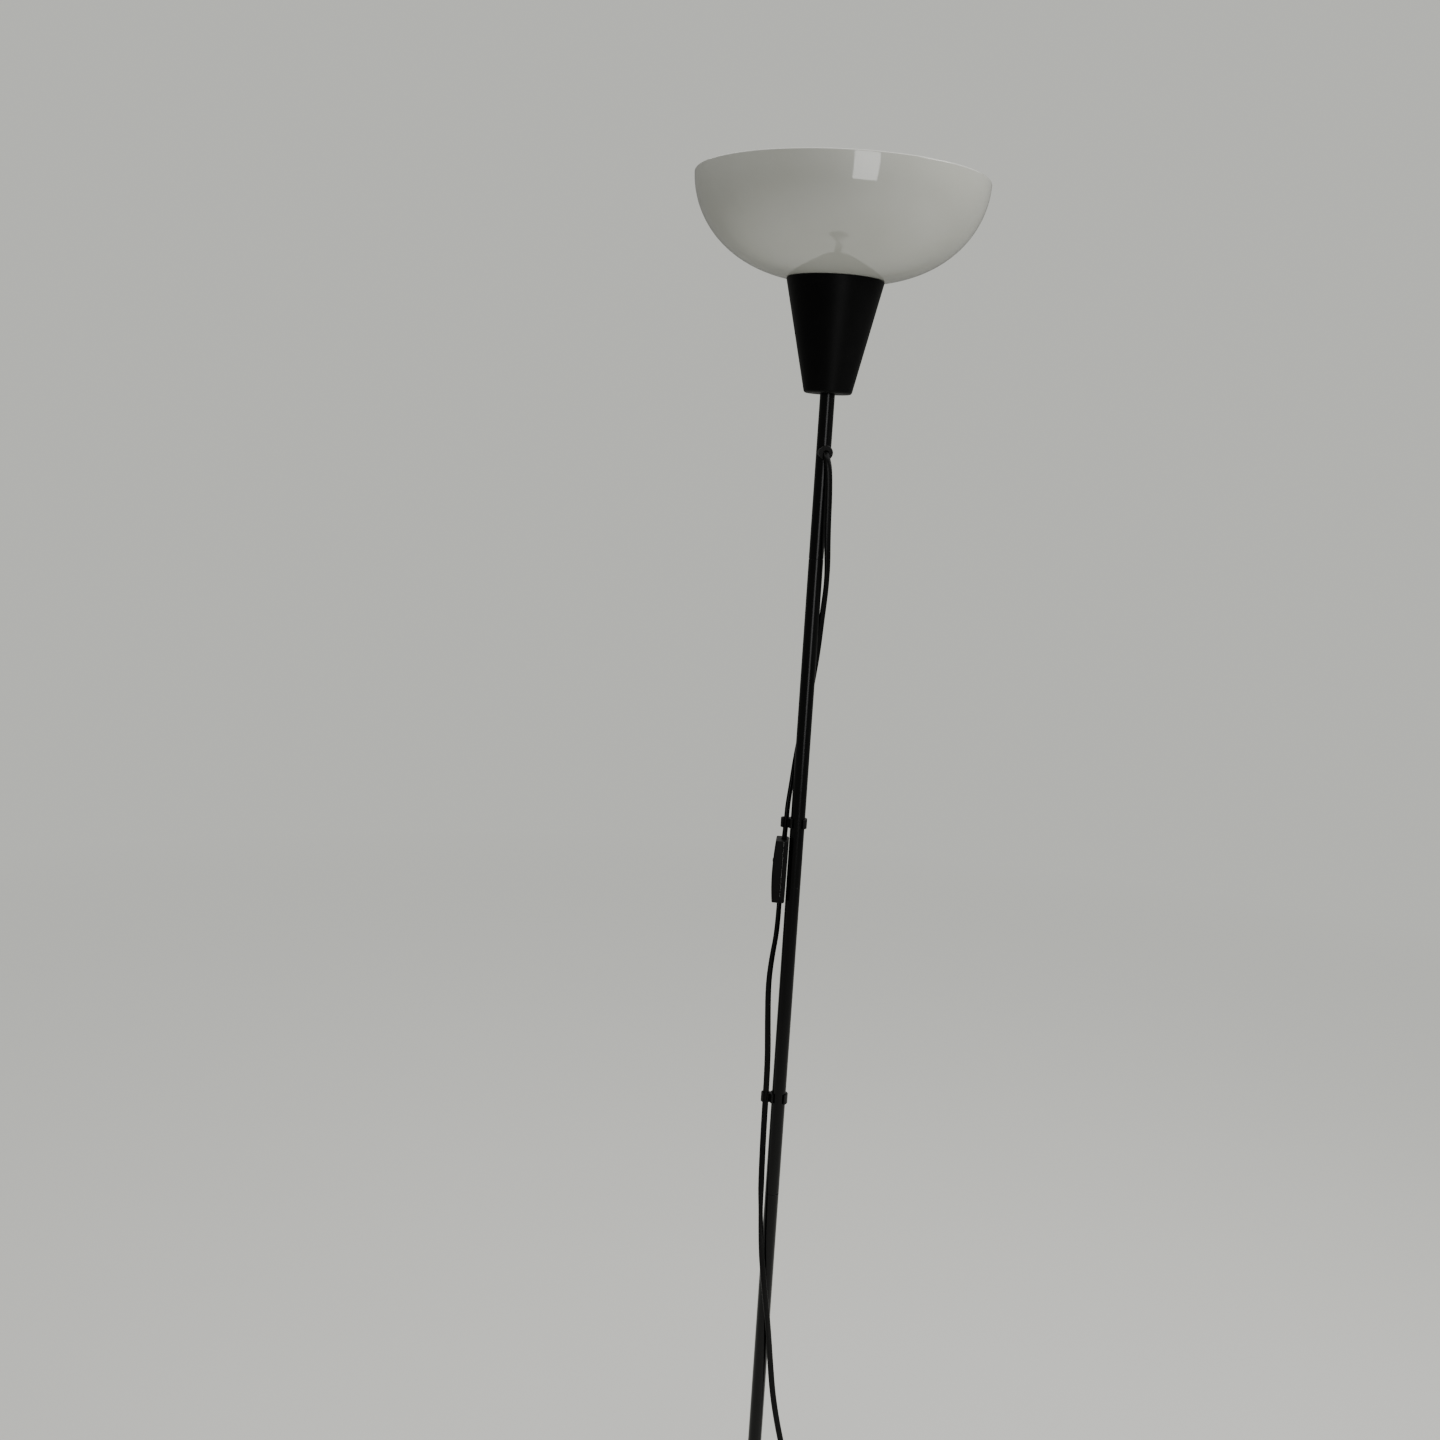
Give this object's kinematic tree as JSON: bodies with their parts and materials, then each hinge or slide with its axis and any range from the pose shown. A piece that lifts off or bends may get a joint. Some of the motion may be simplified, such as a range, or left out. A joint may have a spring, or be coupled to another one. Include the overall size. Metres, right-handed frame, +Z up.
{
  "type": "torchiere floor lamp",
  "caption": "Slim torchiere floor lamp: opal bowl shade on a black cone and screwed tube pole, round weighted base, clipped lead with in-line rocker switch and flat two-pin plug.",
  "frame": {"origin": "on the floor, at the centre of the round base", "axes": "+Z up along the pole, -Y towards the front (the side from which the lead hole is seen), +X to the viewer's right"},
  "size_m": [0.3145, 0.3845, 1.7753],
  "materials": {
    "opal_shade": "glossy opal white, slightly translucent",
    "black_cone": "satin black with a fine moulded grain",
    "black_tube": "semi-gloss black powder coat",
    "black_cover": "satin black",
    "iron_weight": "rough cast",
    "steel_sheet": "dark passivated sheet",
    "zinc_steel": "bright zinc plated",
    "brass": "bright",
    "rubber_foot": "matt",
    "black_fitting": "moulded black",
    "switch_plastic": "moulded black, semi-gloss",
    "cord_pvc": "black flexible plastic, semi-gloss",
    "bulb_opal": "frosted opal",
    "bulb_white": "smooth white",
    "nickel": "nickel plated",
    "block_cream": "cream heat-proof moulding"
  },
  "bodies": {
    "stand": {"base_bolt": "zinc_steel", "base_cover": "black_cover", "base_feet": "rubber_foot", "base_plate": "steel_sheet", "base_washer": "zinc_steel", "base_weight": "iron_weight", "cable_clip_lower": "black_fitting", "cable_clip_upper": "black_fitting", "cap_nut": "zinc_steel", "centre_contact": "brass", "coil_tie": "black_fitting", "cone_nut": "zinc_steel", "cone_washer": "zinc_steel", "contact_block": "block_cream", "cord_coil": "cord_pvc", "cord_lower": "cord_pvc", "cord_tail": "cord_pvc", "cord_upper": "cord_pvc", "exit_grommet": "black_fitting", "inner_lead": "cord_pvc", "lampholder_cap": "black_fitting", "lampholder_shell": "black_fitting", "pin_sleeves": "black_fitting", "plate_screws": "zinc_steel", "plug_body": "switch_plastic", "plug_boot": "cord_pvc", "plug_pins": "nickel", "screw_sleeve": "brass", "shade": "opal_shade", "shade_ring": "black_fitting", "socket_cone": "black_cone", "switch_back_shell": "switch_plastic", "switch_contacts": "brass", "switch_front_shell": "switch_plastic", "switch_screws": "zinc_steel", "terminal_screws": "brass", "threaded_nipple": "zinc_steel", "top_insert": "zinc_steel", "top_tube": "black_tube", "tube_inserts": "zinc_steel", "tube_section_1": "black_tube", "tube_section_2": "black_tube", "tube_section_3": "black_tube", "tube_section_4": "black_tube", "tube_studs": "black_tube"},
    "rocker": {"switch_rocker": "switch_plastic"},
    "bulb": {"bulb_cap": "nickel", "bulb_collar": "block_cream", "bulb_globe": "bulb_opal", "bulb_housing": "bulb_white", "bulb_tip": "nickel", "led_plate": "bulb_white"}
  },
  "joints": [
    {"name": "rocker_tilt", "type": "hinge", "parent": "stand", "child": "rocker", "pos_m": [-0.0191, 0, 1.08053], "axis": [0, 1, 0], "range_deg": [0, 14]},
    {"name": "bulb_lift", "type": "slide", "parent": "stand", "child": "bulb", "axis": [0, 0, 1], "range_m": [0, 0.16]}
  ]
}
